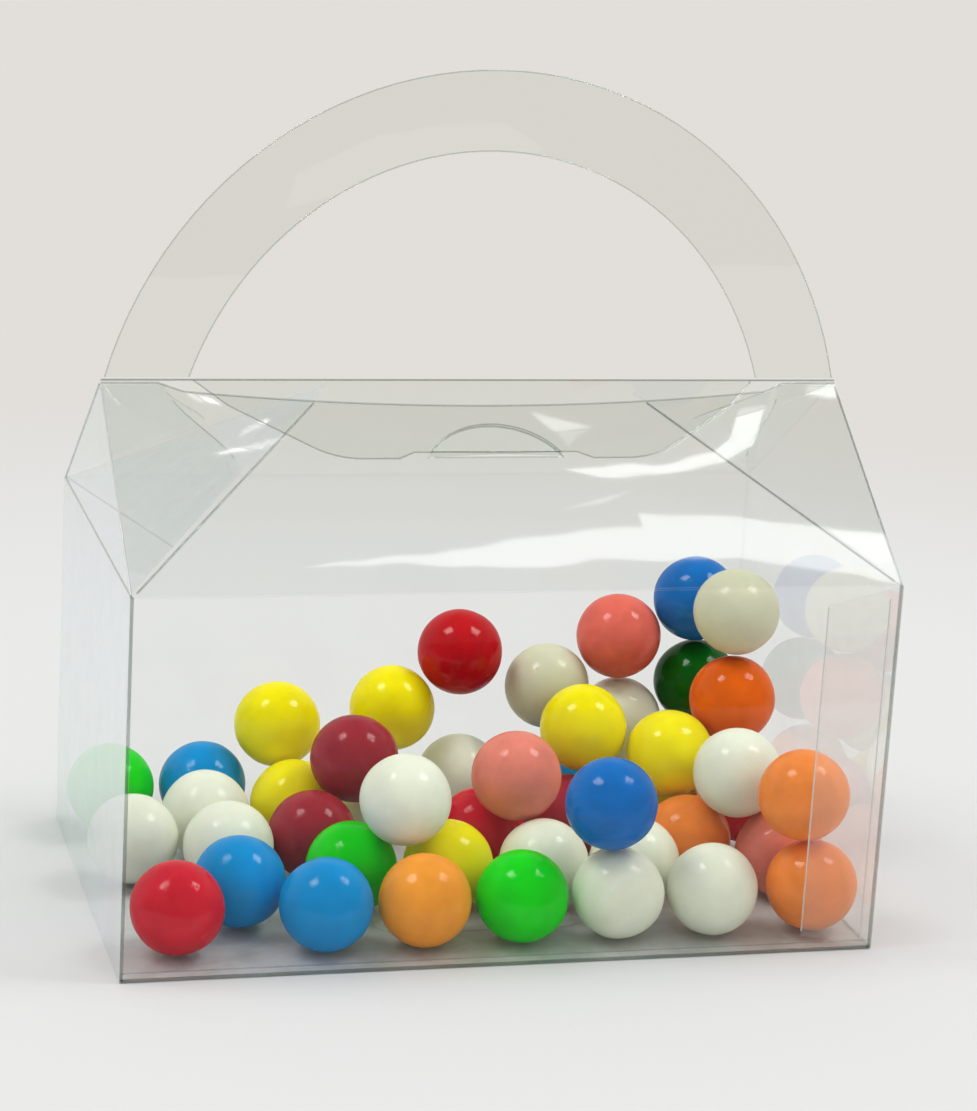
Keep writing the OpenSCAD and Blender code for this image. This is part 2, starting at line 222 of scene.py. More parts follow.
def make_film(name, tint, square_on, climb=2.8, haze=0.0, milk_or_painted_light=(0.86, 0.87, 0.86), roughness=0.02):
    """Clear sheet: tinted see-through, a mirror on a faintly rippled skin, and some haze."""
    material, tree, output = new_material(name)
    place = add(tree, "ShaderNodeTexCoord")
    scales = {"Ripple_Scale": 22.0, "Smear_Scale": 60.0}
    marks = add(tree, "ShaderNodeGroup", {"node_tree": sheet_marks}, Haze=haze, **scales)
    join(tree, place.outputs["Object"], marks.inputs["Place"])
    bump = add(tree, "ShaderNodeBump", Strength=1.0, Distance=RIPPLE_DEPTH)
    join(tree, marks.outputs["Ripple"], bump.inputs["Height"])
    turned = add(tree, "ShaderNodeLayerWeight", Blend=0.5)
    join(tree, bump.outputs["Normal"], turned.inputs["Normal"])
    steeper = add(tree, "ShaderNodeMath", {"operation": "POWER"})
    steeper.inputs[1].default_value = climb
    join(tree, turned.outputs["Facing"], steeper.inputs[0])
    share = add(tree, "ShaderNodeMapRange", To_Min=square_on, To_Max=1.0)
    join(tree, steeper.outputs[0], share.inputs["Value"])
    through = add(tree, "ShaderNodeBsdfTransparent", Color=(*tint, 1))
    mirror = add(tree, "ShaderNodeBsdfGlossy", Color=(0.95, 0.97, 0.96, 1), Roughness=roughness)
    join(tree, bump.outputs["Normal"], mirror.inputs["Normal"])
    clear = add(tree, "ShaderNodeMixShader")
    join(tree, share.outputs["Result"], clear.inputs[0])
    join(tree, through.outputs[0], clear.inputs[1])
    join(tree, mirror.outputs[0], clear.inputs[2])
    if not haze:
        join(tree, clear.outputs[0], output.inputs["Surface"])
        return material
    # The haze colour is milky film. On the left films it is a painted bluish sheen, and on the
    # bottom it is partly painted light.
    behind = add(tree, "ShaderNodeBsdfTranslucent", Color=(*milk_or_painted_light, 1))
    before = add(tree, "ShaderNodeBsdfDiffuse", Color=(*milk_or_painted_light, 1))
    both = add(tree, "ShaderNodeMixShader")
    join(tree, behind.outputs[0], both.inputs[1])
    join(tree, before.outputs[0], both.inputs[2])
    hazy = add(tree, "ShaderNodeMixShader")
    join(tree, marks.outputs["Smear"], hazy.inputs[0])
    join(tree, clear.outputs[0], hazy.inputs[1])
    join(tree, both.outputs[0], hazy.inputs[2])
    join(tree, hazy.outputs[0], output.inputs["Surface"])
    return material


# The bluish colour below is a painted sheen of bluish light on the haze of the left wall and the
# left folded end, not milky film.
PAINTED_BLUE_SHEEN = (0.78, 0.87, 1.0)
WHITISH = (0.97, 0.97, 0.97)
CLEAR = (0.975, 0.978, 0.972)
wall_film = make_film("clear film of the walls", CLEAR, 0.014, 3.2)
# The bottom's white haze is partly scuffing and partly painted light that lifts the shade under
# the heap.
scuffed_and_lit_floor_film = make_film("scuffed film of the bottom with painted light", CLEAR, 0.02, 6.0, 0.42, WHITISH)
# The left wall's bluish haze is a painted sheen of bluish light.
left_film = make_film("clear film of the left wall", (0.98, 0.985, 0.985), 0.02, 1.5, 0.16, PAINTED_BLUE_SHEEN)
right_film = make_film(
    "clear film of the right wall", (0.985, 0.985, 0.98), 0.02, 3.4, 0.18, WHITISH
)
glued_film = make_film("film with dried glue", (0.98, 0.98, 0.975), 0.03, 2.8, 0.16, WHITISH)
roof_film = make_film("clear film of the front roof", (0.965, 0.972, 0.955), 0.05, 2.3)
back_film = make_film("clear film of the back roof", (0.975, 0.98, 0.965), 0.03, 8.0)
flap_film = make_film("clear film of the closure", (0.935, 0.948, 0.925), 0.02, 4.0)
handle_film = make_film("clear film of the handle", (0.932, 0.946, 0.922), 0.06, 2.3)
fold_film = make_film("clear film of the folded ends", (0.982, 0.992, 0.982), 0.03, 3.0)
# The left folded end's bluish haze is a painted sheen as well.
left_end_film = make_film(
    "film of the left folded end", (0.975, 0.985, 0.99), 0.03, 3.0, 0.22, PAINTED_BLUE_SHEEN
)
rim = make_film("cut rim of the film", (0.80, 0.83, 0.81), 0.10, roughness=0.25)
dark_fold = make_film("sharp fold", (0.70, 0.73, 0.72), 0.06, roughness=0.12)
grey_fold = make_film("soft fold", (0.87, 0.89, 0.885), 0.06, roughness=0.12)
pale_fold = make_film("gentle fold", (0.985, 0.985, 0.985), 0.02, 4.0, roughness=0.12)
bright_fold = make_film(
    "fold that catches the light", (0.93, 0.95, 0.97), 0.25, haze=0.45, roughness=0.08
)
print("mixed the film materials")

# %% [markdown]
# ## Fold lines
#
# The blank is scored where it folds. A sharp fold, turned flat on itself, shows as
# a dark line; a gentle one, such as the eave between wall and roof, almost
# vanishes. Each fold is written as a line with its body, its bead's radius and its
# look, and it stays where two panels meet when they swing.

# %% Sizes of the folds
CORNER_BEAD = 0.0005
BEAD = 0.0003
RIDGE_BEAD = 0.00026
EDGE_BEAD = 0.00022
SCORE_BEAD = 0.0002
corner_x = HALF_WIDTH - CORNER_BEAD
corner_y = HALF_DEPTH - CORNER_BEAD
eave_x = HALF_WIDTH - BEAD
eave_y = HALF_DEPTH - BEAD
ridge_x = HALF_WIDTH - SHEET
# How far each line stops short of an edge, how high it runs, and which share of
# its valley it fills.
TAB_HALF = 0.0168
FOOT_SCORE_Z = 0.0026
UNDER_ROOF = 0.0006
ROOF_FOLD_IN = 0.00004
ROOF_FOLD_START = 0.001
ROOF_FOLD_SHORT = 0.002
VALLEY_START = 0.03
VALLEY_STOP = 0.9
FLAP_SCORE_IN = 0.0033
FLAP_SCORE_Z = (0.003, 0.098)
FLAP_EDGE_Z = (0.006, 0.096)
BEHIND_FLAP = 0.0001
side_name = {-1: "left", 1: "right"}
face_name = {-1: "front", 1: "back"}
flap_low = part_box("glue_flap")[0]
flap_y = flap_low.y + BEHIND_FLAP
flap_score_x = HALF_WIDTH - FLAP_SCORE_IN
print(f"beads are {2000 * SCORE_BEAD:.1f} to {2000 * CORNER_BEAD:.1f} mm thick")


# %% List the folds
FOLDS = []


def fold(name, body, start, finish, radius, look):
    """Notes one fold line down."""
    FOLDS.append((name, body, start, finish, radius, look))


fold("ridge_fold", "back_roof", (-ridge_x, *ridge.yz), (ridge_x, *ridge.yz), RIDGE_BEAD, dark_fold)
tab_ends = (-TAB_HALF, *tab_crease.yz), (TAB_HALF, *tab_crease.yz)
fold("lock_tab_fold", "front_roof", *tab_ends, SCORE_BEAD, grey_fold)
foot_ends = (-corner_x, -eave_y, FOOT_SCORE_Z), (corner_x, -eave_y, FOOT_SCORE_Z)
fold("foot_score", "box", *foot_ends, SCORE_BEAD, grey_fold)
score_ends = [(flap_score_x, flap_y, z) for z in FLAP_SCORE_Z]
fold("glue_score", "box", *score_ends, SCORE_BEAD, bright_fold)
flap_edge_ends = [(flap_low.x, flap_y, z) for z in FLAP_EDGE_Z]
fold("glue_flap_edge", "box", *flap_edge_ends, EDGE_BEAD, bright_fold)
for y in (-1, 1):
    bottom = [(x * corner_x, y * corner_y, CORNER_BEAD) for x in (-1, 1)]
    eave = [(x * corner_x, y * eave_y, EAVE_Z) for x in (-1, 1)]
    look = dark_fold if y < 0 else pale_fold
    fold(f"{face_name[y]}_bottom_fold", "box", *bottom, CORNER_BEAD, look)
    fold(f"{face_name[y]}_eave_fold", "box", *eave, BEAD, pale_fold)
for x in (-1, 1):
    bottom = [(x * corner_x, y * corner_y, CORNER_BEAD) for y in (-1, 1)]
    eave = [(x * eave_x, y * corner_y, EAVE_Z) for y in (-1, 1)]
    bottom_look, eave_look = (pale_fold, dark_fold) if x < 0 else (grey_fold, pale_fold)
    fold(f"{side_name[x]}_bottom_fold", "box", *bottom, CORNER_BEAD, bottom_look)
    fold(f"{side_name[x]}_eave_fold", "box", *eave, BEAD, eave_look)


def roof_look(x, y):
    """The left front edge catches the light, the right back one is pale, the others are dark."""
    if x < 0 and y < 0:
        return bright_fold
    return pale_fold if x > 0 and y > 0 else dark_fold


for x in (-1, 1):
    for y in (-1, 1):
        place = f"{face_name[y]}_{side_name[x]}"
        look = dark_fold if y < 0 else pale_fold
        foot = Vector((x * corner_x, y * corner_y, CORNER_BEAD))
        head = Vector((x * corner_x, y * corner_y, EAVE_Z))
        fold(f"{place}_corner_fold", "box", foot, head, CORNER_BEAD, look)
        up_roof = Vector((0, -y * front_up.y, front_up.z))
        low = Vector((x * (abs(roof_side.x) - ROOF_FOLD_IN), -y * roof_side.y, roof_side.z))
        edge_ends = low + up_roof * ROOF_FOLD_START, low + up_roof * (SLOPE - ROOF_FOLD_SHORT)
        fold(f"{place}_roof_fold", f"{face_name[y]}_roof", *edge_ends, BEAD, roof_look(x, y))
        corner = Vector((x * (HALF_WIDTH - SHEET / 2), y * EAVE_Y, EAVE_Z - UNDER_ROOF))
        apex = Vector((x * (HALF_WIDTH - SHEET / 2 - EAVE_Y), 0, APEX_Z - UNDER_ROOF))
        valley_ends = corner.lerp(apex, VALLEY_START), corner.lerp(apex, VALLEY_STOP)
        fold(f"{place}_valley_fold", f"{side_name[x]}_gusset_panel", *valley_ends, BEAD, look)
print("listed", len(FOLDS), "folds")


# %% Measure the way to the closest fold
def nearest_fold(point):
    """How far a point lies from the closest fold."""
    distances = []
    for _, _, foot, head, _, _ in FOLDS:
        start = Vector(foot)
        run = Vector(head) - start
        along = max(0.0, min(1.0, (point - start).dot(run) / run.length_squared))
        distances.append((start + run * along - point).length)
    return min(distances)


# %% [markdown]
# ## Panels
#
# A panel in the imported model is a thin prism. For the looks its outer face and its
# cut rim are enough, because light passes a thin sheet almost without bending. The
# rim is left out along a fold, where the real sheet is not cut at all.


# %% Make one skin from a packed panel
SAME_WAY = 0.95
SAME_POINT = 0.000002
FOLD_REACH = 0.0009


def skin_of(node_name, outward, film, reach=FOLD_REACH):
    """The outer skin and cut rim of a packed panel, as a new piece that stands for it."""
    mesh = bmesh.new()
    mesh.from_mesh(nodes[node_name].data)
    bmesh.ops.remove_doubles(mesh, verts=mesh.verts, dist=SAME_POINT)
    bmesh.ops.recalc_face_normals(mesh, faces=mesh.faces)
    inner = [face for face in mesh.faces if face.normal.dot(outward) < -SAME_WAY]
    bmesh.ops.delete(mesh, geom=inner, context="FACES")
    corners = []
    for edge in mesh.edges:
        sides = {face.normal.dot(outward) > SAME_WAY for face in edge.link_faces}
        if len(sides) == 2:
            corners.append(edge)
    bmesh.ops.split_edges(mesh, edges=corners)
    rims = [face for face in mesh.faces if face.normal.dot(outward) <= SAME_WAY]
    folded = [face for face in rims if nearest_fold(face.calc_center_median()) < reach]
    bmesh.ops.delete(mesh, geom=folded, context="FACES")
    for face in mesh.faces:
        face.smooth = False
        face.material_index = 0 if face.normal.dot(outward) > SAME_WAY else 1
    skin_mesh = bpy.data.meshes.new(node_name + "_film")
    mesh.to_mesh(skin_mesh)
    mesh.free()
    skin = bpy.data.objects.new(node_name + "_film", skin_mesh)
    bpy.context.scene.collection.objects.link(skin)
    skin_mesh.materials.append(film)
    skin_mesh.materials.append(rim)
    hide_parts(node_name)
    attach(skin, nodes[node_name]["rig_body"])
    return skin


# %% Skin every panel
AHEAD = Vector((0, -1, 0))
UPWARD = Vector((0, 0, 1))
front_out = Vector((0, -math.sin(PITCH), math.cos(PITCH)))
back_out = Vector((0, math.sin(PITCH), math.cos(PITCH)))
left_out = Vector((-math.sin(PITCH), 0, math.cos(PITCH)))
right_out = Vector((math.sin(PITCH), 0, math.cos(PITCH)))
VALLEY_REACH = 0.006
PANELS = {
    "front_wall": (AHEAD, wall_film),
    "back_wall": (-AHEAD, wall_film),
    "left_wall": (Vector((-1, 0, 0)), left_film),
    "right_wall": (Vector((1, 0, 0)), right_film),
    "glue_flap": (-AHEAD, glued_film),
    "outer_bottom_flap": (UPWARD, scuffed_and_lit_floor_film),
    "inner_bottom_flap": (UPWARD, scuffed_and_lit_floor_film),
    "left_bottom_flap": (UPWARD, scuffed_and_lit_floor_film),
    "right_bottom_flap": (UPWARD, scuffed_and_lit_floor_film),
    "front_roof": (front_out, roof_film),
    "back_roof": (back_out, back_film),
    "closure_flap": (front_out, flap_film),
    "lock_tab": (front_out, flap_film),
    "handle": (AHEAD, handle_film),
    "left_front_flank": (front_out, fold_film, VALLEY_REACH),
    "right_front_flank": (front_out, fold_film, VALLEY_REACH),
    "left_back_flank": (back_out, fold_film, VALLEY_REACH),
    "right_back_flank": (back_out, fold_film, VALLEY_REACH),
    "left_gusset_panel": (left_out, left_end_film, VALLEY_REACH),
    "right_gusset_panel": (right_out, fold_film, VALLEY_REACH),
}
skins = {name: skin_of(name, *look) for name, look in PANELS.items()}
print("skinned", len(skins), "panels")

# %% [markdown]
# ## Fold beads
#
# A folded sheet is rounded along its fold. The rounding is a thin bead along the
# hinge line, so it joins its two panels at every angle. One Geometry Nodes tree
# makes them all: a line from start to end, swept by a small circle.


# %% The tree's last steps, shared by all trees
def finish_tree(tree, start, end, mesh_socket):
    """Smooths, realizes and paints a mesh, and passes it out."""
    smooth = add(tree, "GeometryNodeSetShadeSmooth")
    join(tree, mesh_socket, smooth.inputs["Geometry"])
    real = add(tree, "GeometryNodeRealizeInstances")
    join(tree, smooth.outputs["Geometry"], real.inputs["Geometry"])
    paint = add(tree, "GeometryNodeSetMaterial")
    join(tree, real.outputs["Geometry"], paint.inputs["Geometry"])
    join(tree, start.outputs["Material"], paint.inputs["Material"])
    join(tree, paint.outputs["Geometry"], end.inputs["Geometry"])


def new_tree(name, **inputs):
    """A Geometry Nodes tree with these named inputs, its input and its output node."""
    tree = bpy.data.node_groups.new(name, "GeometryNodeTree")
    tree.interface.new_socket("Geometry", in_out="INPUT", socket_type="NodeSocketGeometry")
    for socket_name, kind in inputs.items():
        tree.interface.new_socket(socket_name, in_out="INPUT", socket_type="NodeSocket" + kind)
    tree.interface.new_socket("Material", in_out="INPUT", socket_type="NodeSocketMaterial")
    tree.interface.new_socket("Geometry", in_out="OUTPUT", socket_type="NodeSocketGeometry")
    return tree, add(tree, "NodeGroupInput"), add(tree, "NodeGroupOutput")


# %% Geometry Nodes tree for a fold
def make_fold_tree():
    """A tree that sweeps a round bead from Start to End."""
    tree, start, end = new_tree("fold bead", Start="Vector", End="Vector", Radius="Float")
    line = add(tree, "GeometryNodeCurvePrimitiveLine")
    join(tree, start.outputs["Start"], line.inputs["Start"])
    join(tree, start.outputs["End"], line.inputs["End"])
    steps = add(tree, "GeometryNodeResampleCurve", Count=24)
    join(tree, line.outputs["Curve"], steps.inputs["Curve"])
    ring = add(tree, "GeometryNodeCurvePrimitiveCircle", Resolution=10)
    join(tree, start.outputs["Radius"], ring.inputs["Radius"])
    sweep = add(tree, "GeometryNodeCurveToMesh", Fill_Caps=True)
    join(tree, steps.outputs["Curve"], sweep.inputs["Curve"])
    join(tree, ring.outputs["Curve"], sweep.inputs["Profile Curve"])
    finish_tree(tree, start, end, sweep.outputs["Mesh"])
    return tree


fold_tree = make_fold_tree()


# %% Run a tree and keep its mesh
def grown(name, tree, body, slot, path=None, **inputs):
    """Runs a Geometry Nodes tree on a path, or on nothing, and keeps the result as a mesh."""
    seed = bpy.data.objects.new(name + "_seed", path or bpy.data.meshes.new(name + "_seed"))
    bpy.context.scene.collection.objects.link(seed)
    modifier = seed.modifiers.new("grow", "NODES")
    modifier.node_group = tree
    for socket in tree.interface.items_tree:
        if socket.in_out == "INPUT" and socket.name in inputs:
            modifier[socket.identifier] = inputs[socket.name]
    bpy.context.view_layer.update()
    finished = seed.evaluated_get(bpy.context.evaluated_depsgraph_get())
    mesh = bpy.data.meshes.new_from_object(finished)
    bpy.data.objects.remove(seed)
    for vertex in mesh.vertices:
        for axis in range(3):
            vertex.co[axis] = min(max(vertex.co[axis], cad_box[0][axis]), cad_box[1][axis])
    piece = bpy.data.objects.new(name, mesh)
    bpy.context.scene.collection.objects.link(piece)
    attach(piece, body)
    return piece


for name, body, start, finish, radius, look in FOLDS:
    inputs = {"Start": start, "End": finish, "Radius": radius, "Material": look}
    grown(name, fold_tree, body, "clear_sheet", **inputs)
print("laid", len(FOLDS), "fold beads")

# %% [markdown]
# ## Cut lips
#
# The die squeezes the sheet as it cuts and leaves a rounded lip along the cut.
# The lip is what shows of a clear sheet's outline. A second tree sweeps a thin
# bead along the free edges of a skin, which are the border edges off the folds.


# %% Geometry Nodes tree for a cut lip
def make_lip_tree():
    """A tree that sweeps a round bead along the edges it is given."""
    tree, start, end = new_tree("cut lip", Radius="Float")
    run = add(tree, "GeometryNodeMeshToCurve")
    join(tree, start.outputs["Geometry"], run.inputs["Mesh"])
    ring = add(tree, "GeometryNodeCurvePrimitiveCircle", Resolution=8)
    join(tree, start.outputs["Radius"], ring.inputs["Radius"])
    sweep = add(tree, "GeometryNodeCurveToMesh", Fill_Caps=True)
    join(tree, run.outputs["Curve"], sweep.inputs["Curve"])
    join(tree, ring.outputs["Curve"], sweep.inputs["Profile Curve"])
    finish_tree(tree, start, end, sweep.outputs["Mesh"])
    return tree


lip_tree = make_lip_tree()


# %% Find the cut edges and roll their lips
def cut_path(skin, reach):
    """The free edges of a skin, as a mesh of edges alone."""
    work = bmesh.new()
    work.from_mesh(skin.data)
    path = bmesh.new()
    for edge in work.edges:
        faces = [face for face in edge.link_faces if face.material_index == 0]
        middle = (edge.verts[0].co + edge.verts[1].co) / 2
        if len(faces) == 1 and nearest_fold(middle) > reach:
            path.edges.new([path.verts.new(vertex.co) for vertex in edge.verts])
    bmesh.ops.remove_doubles(path, verts=path.verts, dist=SAME_POINT)
    path_mesh = bpy.data.meshes.new(skin.name + "_cut")
    path.to_mesh(path_mesh)
    path.free()
    work.free()
    return path_mesh


TIGHT_REACH = 0.0007
LIPS = {
    "handle": (0.0002, FOLD_REACH, grey_fold),
    "closure_flap": (0.00024, FOLD_REACH, grey_fold),
    "front_roof": (0.00028, TIGHT_REACH, grey_fold),
    "lock_tab": (0.0002, TIGHT_REACH, grey_fold),
    "left_front_flank": (0.00018, VALLEY_REACH, grey_fold),
    "right_front_flank": (0.00022, VALLEY_REACH, grey_fold),
    "left_back_flank": (0.00018, VALLEY_REACH, pale_fold),
    "right_back_flank": (0.00018, VALLEY_REACH, pale_fold),
}
for node_name, (radius, reach, look) in LIPS.items():
    path = cut_path(skins[node_name], reach)
    body = nodes[node_name]["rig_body"]
    grown(node_name + "_lip", lip_tree, body, "clear_sheet", path, Radius=radius, Material=look)
print("rolled", len(LIPS), "cut lips")

# %% [markdown]
# ## Gumballs
#
# A gumball is a ball of gum tumbled in sugar until a hard coloured shell has
# built up. The shell is glossy but never quite even: it has shallow dents, and
# its colour is faintly mottled. A Geometry Nodes tree grows each shell from a
# fine ball, and noise presses shallow dents into it, always inwards, so that no
# ball grows into its neighbour. Some shells take a second, deeper tone. On some
# balls it is their own deeper colour, and on others it is painted shade where they lie
# in the shade of their neighbours. A number kept on each shell says which.


# %% Geometry Nodes tree for a candy shell
def make_shell_tree():
    """A tree that grows one dented candy shell about Centre."""
    sizes = dict.fromkeys(("Radius", "Dent", "Seed", "Bag"), "Float")
    tree, start, end = new_tree("candy shell", Centre="Vector", **sizes)
    ball = add(tree, "GeometryNodeMeshIcoSphere", Subdivisions=5, Radius=1.0)
    place = add(tree, "GeometryNodeInputPosition")
    solid_noise = {"noise_dimensions": "4D"}
    lumps = add(tree, "ShaderNodeTexNoise", solid_noise, Scale=0.9, Detail=1.5, Roughness=0.5)
    join(tree, place.outputs[0], lumps.inputs["Vector"])
    join(tree, start.outputs["Seed"], lumps.inputs["W"])
    depth = add(tree, "ShaderNodeMath", {"operation": "MULTIPLY"})
    join(tree, lumps.outputs[0], depth.inputs[0])
    join(tree, start.outputs["Dent"], depth.inputs[1])
    left_over = add(tree, "ShaderNodeMath", {"operation": "SUBTRACT"})
    left_over.inputs[0].default_value = 1.0
    join(tree, depth.outputs[0], left_over.inputs[1])
    size = add(tree, "ShaderNodeMath", {"operation": "MULTIPLY"})
    join(tree, left_over.outputs[0], size.inputs[0])
    join(tree, start.outputs["Radius"], size.inputs[1])
    shell = add(tree, "ShaderNodeVectorMath", {"operation": "SCALE"})
    join(tree, place.outputs[0], shell.inputs[0])
    join(tree, size.outputs[0], shell.inputs["Scale"])
    about = add(tree, "ShaderNodeVectorMath", {"operation": "ADD"})
    join(tree, shell.outputs[0], about.inputs[0])
    join(tree, start.outputs["Centre"], about.inputs[1])
    move = add(tree, "GeometryNodeSetPosition")
    join(tree, ball.outputs["Mesh"], move.inputs["Geometry"])
    join(tree, about.outputs[0], move.inputs["Position"])
    on_points = {"data_type": "FLOAT", "domain": "POINT"}
    # Each shell keeps whether it takes the deeper tone, which on some balls is painted shade.
    deeper_or_shaded = add(tree, "GeometryNodeStoreNamedAttribute", on_points, Name="deeper_or_shaded")
    join(tree, move.outputs["Geometry"], deeper_or_shaded.inputs["Geometry"])
    join(tree, start.outputs["Bag"], deeper_or_shaded.inputs["Value"])
    finish_tree(tree, start, end, deeper_or_shaded.outputs["Geometry"])
    return tree


shell_tree = make_shell_tree()
print("made the tree", shell_tree.name)

# %% [markdown]
# The shell's material is a coloured body under a thin clear glaze. Noise on two
# scales mottles the colour and pits the skin. All the colours share the two, so
# they are a node group as well.

# %% Candy colours, usual and deeper (the deeper partly painted shade), and the darkest mottle
CANDY = {
    # The second white is painted shade and yellow bounce light from its neighbours.
    "white": ((0.79, 0.83, 0.68), (0.62, 0.63, 0.46), 0.96),
    "red": ((0.66, 0.010, 0.028), (0.50, 0.003, 0.008), 0.84),
    "maroon": ((0.34, 0.022, 0.036), (0.34, 0.022, 0.036), 0.84),
    "pink": ((0.79, 0.23, 0.17), (0.76, 0.14, 0.10), 0.86),
    "orange": ((0.94, 0.27, 0.050), (0.78, 0.125, 0.006), 0.86),
    "peach": ((0.93, 0.34, 0.035), (0.93, 0.34, 0.035), 0.88),
    "yellow": ((0.88, 0.78, 0.003), (0.84, 0.72, 0.002), 0.90),
    # The second green is painted shade: that ball lies in the shade of the balls above it.
    "green": ((0.001, 0.70, 0.004), (0.001, 0.12, 0.002), 0.86),
    "blue": ((0.001, 0.28, 0.66), (0.001, 0.15, 0.52), 0.86),
}


def make_candy_marks():
    """A group that gives a shell's mottled shade and its fine grain."""
    sizes = {"Place": "Vector", "Darkest": "Float"}
    group, start, end = new_group("mottle and grain", sizes, ("Shade", "Grain"))
    clouds = add(group, "ShaderNodeTexNoise", Scale=150.0, Detail=4.0, Roughness=0.55)
    join(group, start.outputs["Place"], clouds.inputs["Vector"])
    shade = add(group, "ShaderNodeMapRange", From_Min=0.3, From_Max=0.7, To_Max=1.04)
    join(group, clouds.outputs["Fac"], shade.inputs["Value"])
    join(group, start.outputs["Darkest"], shade.inputs["To Min"])
    join(group, shade.outputs["Result"], end.inputs["Shade"])
    grain = add(group, "ShaderNodeTexNoise", Scale=700.0, Detail=3.0, Roughness=0.5)
    join(group, start.outputs["Place"], grain.inputs["Vector"])
    join(group, grain.outputs["Fac"], end.inputs["Grain"])
    return group


candy_marks = make_candy_marks()


# A Mix node has sockets of several kinds. These are its colour ones.
COLOUR_A = 6
COLOUR_B = 7
COLOUR_OUT = 2


def make_candy(colour, usual_tone, deeper_or_shaded_tone, mottle):
    """Glazed candy shell in one colour with a deeper tone that is partly painted shade, faintly
    mottled and pitted.
    """
    material, tree, output = new_material(f"{colour} candy shell")
    place = add(tree, "ShaderNodeTexCoord")
    marks = add(tree, "ShaderNodeGroup", {"node_tree": candy_marks}, Darkest=mottle)
    join(tree, place.outputs["Object"], marks.inputs["Place"])
    # The stored number picks the deeper tone, which on some balls is painted shade.
    deeper_or_shaded = add(tree, "ShaderNodeAttribute", {"attribute_name": "deeper_or_shaded"})
    tone = add(tree, "ShaderNodeMix", {"data_type": "RGBA"})
    tone.inputs[COLOUR_A].default_value = (*usual_tone, 1)
    tone.inputs[COLOUR_B].default_value = (*deeper_or_shaded_tone, 1)
    join(tree, deeper_or_shaded.outputs["Fac"], tone.inputs["Factor"])
    mottled = add(tree, "ShaderNodeVectorMath", {"operation": "SCALE"})
    join(tree, tone.outputs[COLOUR_OUT], mottled.inputs[0])
    join(tree, marks.outputs["Shade"], mottled.inputs["Scale"])
    bump = add(tree, "ShaderNodeBump", Strength=0.25, Distance=0.0001)
    join(tree, marks.outputs["Grain"], bump.inputs["Height"])
    glaze = {"Coat_Weight": 0.42, "Coat_Roughness": 0.09}
    shell = add(tree, "ShaderNodeBsdfPrincipled", Roughness=0.6, Specular_IOR_Level=0.0, **glaze)
    join(tree, mottled.outputs[0], shell.inputs["Base Color"])
    join(tree, bump.outputs["Normal"], shell.inputs["Normal"])
    join(tree, bump.outputs["Normal"], shell.inputs["Coat Normal"])
    join(tree, shell.outputs[0], output.inputs["Surface"])
    return material


candy = {colour: make_candy(colour, *look) for colour, look in CANDY.items()}
print("mixed", len(candy), "candy colours")


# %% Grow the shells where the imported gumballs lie
def ball_boxes(mesh):
    """Lowest and highest corner of each separate ball in a mesh, in the order of their places."""
    work = bmesh.new()
    work.from_mesh(mesh)
    bmesh.ops.remove_doubles(work, verts=work.verts, dist=SAME_POINT)
    left = set(work.verts)
    found = []
    while left:
        reach = [left.pop()]
        ball = []
        while reach:
            vertex = reach.pop()
            ball.append(vertex.co.copy())
            for edge in vertex.link_edges:
                other = edge.other_vert(vertex)
                if other in left:
                    left.remove(other)
                    reach.append(other)
        low = Vector([min(point[i] for point in ball) for i in range(3)])
        high = Vector([max(point[i] for point in ball) for i in range(3)])
        found.append((low, high))
    work.free()
    return sorted(found, key=lambda corners: tuple(corners[0]))


BALL_RADIUS = 0.0127
DENT = 0.06
SEED_STEP = 1.7
# Shells that take the deeper tone. Some are a deeper colour, and on the green and white ones the
# tone is painted shade and bounce light.
DEEPER_OR_SHADED_BALLS = {
    "blue_gumball_5",
    "blue_gumball_6",
    "green_gumball_4",
    "orange_gumball_5",
    "pink_gumball_3",
    "red_gumball_4",
    "white_gumball_3",
    "white_gumball_5",
}
shells = 0
for node_name in sorted(name for name in nodes if "gumball" in name):
    together = node_name.startswith("bottom_white")
    colour = "white" if together else node_name.split("_")[0]
    places = ball_boxes(nodes[node_name].data) if together else [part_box(node_name)]
    grown_here = []
    for low, high in places:
        shells += 1
        inputs = {"Centre": (low + high) / 2, "Radius": BALL_RADIUS, "Dent": DENT}
        inputs["Seed"] = SEED_STEP * shells
        inputs["Bag"] = 1.0 if node_name in DEEPER_OR_SHADED_BALLS else 0.0
        inputs["Material"] = candy[colour]
        grown_here.append(grown(f"shell_{shells}", shell_tree, "box", f"{colour}_candy", **inputs))
    shell = grown_here[0]
    if together:
        joined = bmesh.new()
        for one in grown_here:
            joined.from_mesh(one.data)
        joined.to_mesh(shell.data)
        joined.free()
        for one in grown_here[1:]:
            bpy.data.objects.remove(one)
    shell.name = node_name.replace("gumball", "candy_shell")
    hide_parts(node_name)
print("grew", shells, "candy shells")

# %% [markdown]
# ## Table, room and lamps
#
# The box stands on a pale table. For the film's mirror images the table ends some
# twenty centimetres in front of the box, so that the film mirrors its edge, as
# real film mirrors the room. For every other view it goes on. The room is pale
# behind the box, and in mirror images dim in front of it and overhead.


# %% Table
def sheet(name, corners, material, mirrored_only=False):
    """A flat sheet of the studio, or one that shows in mirrors alone."""
    sheet_mesh = bpy.data.meshes.new(name)
    sheet_mesh.from_pydata(corners, [], [tuple(range(len(corners)))])
    piece = bpy.data.objects.new(name, sheet_mesh)
    bpy.context.scene.collection.objects.link(piece)
    sheet_mesh.materials.append(material)
    if mirrored_only:
        piece.visible_camera = False
        piece.visible_diffuse = False
        piece.visible_shadow = False
    return piece


TABLE_PAINT = (0.62, 0.627, 0.627)
TABLE_FAR_OFF = (0.76, 0.735, 0.70)


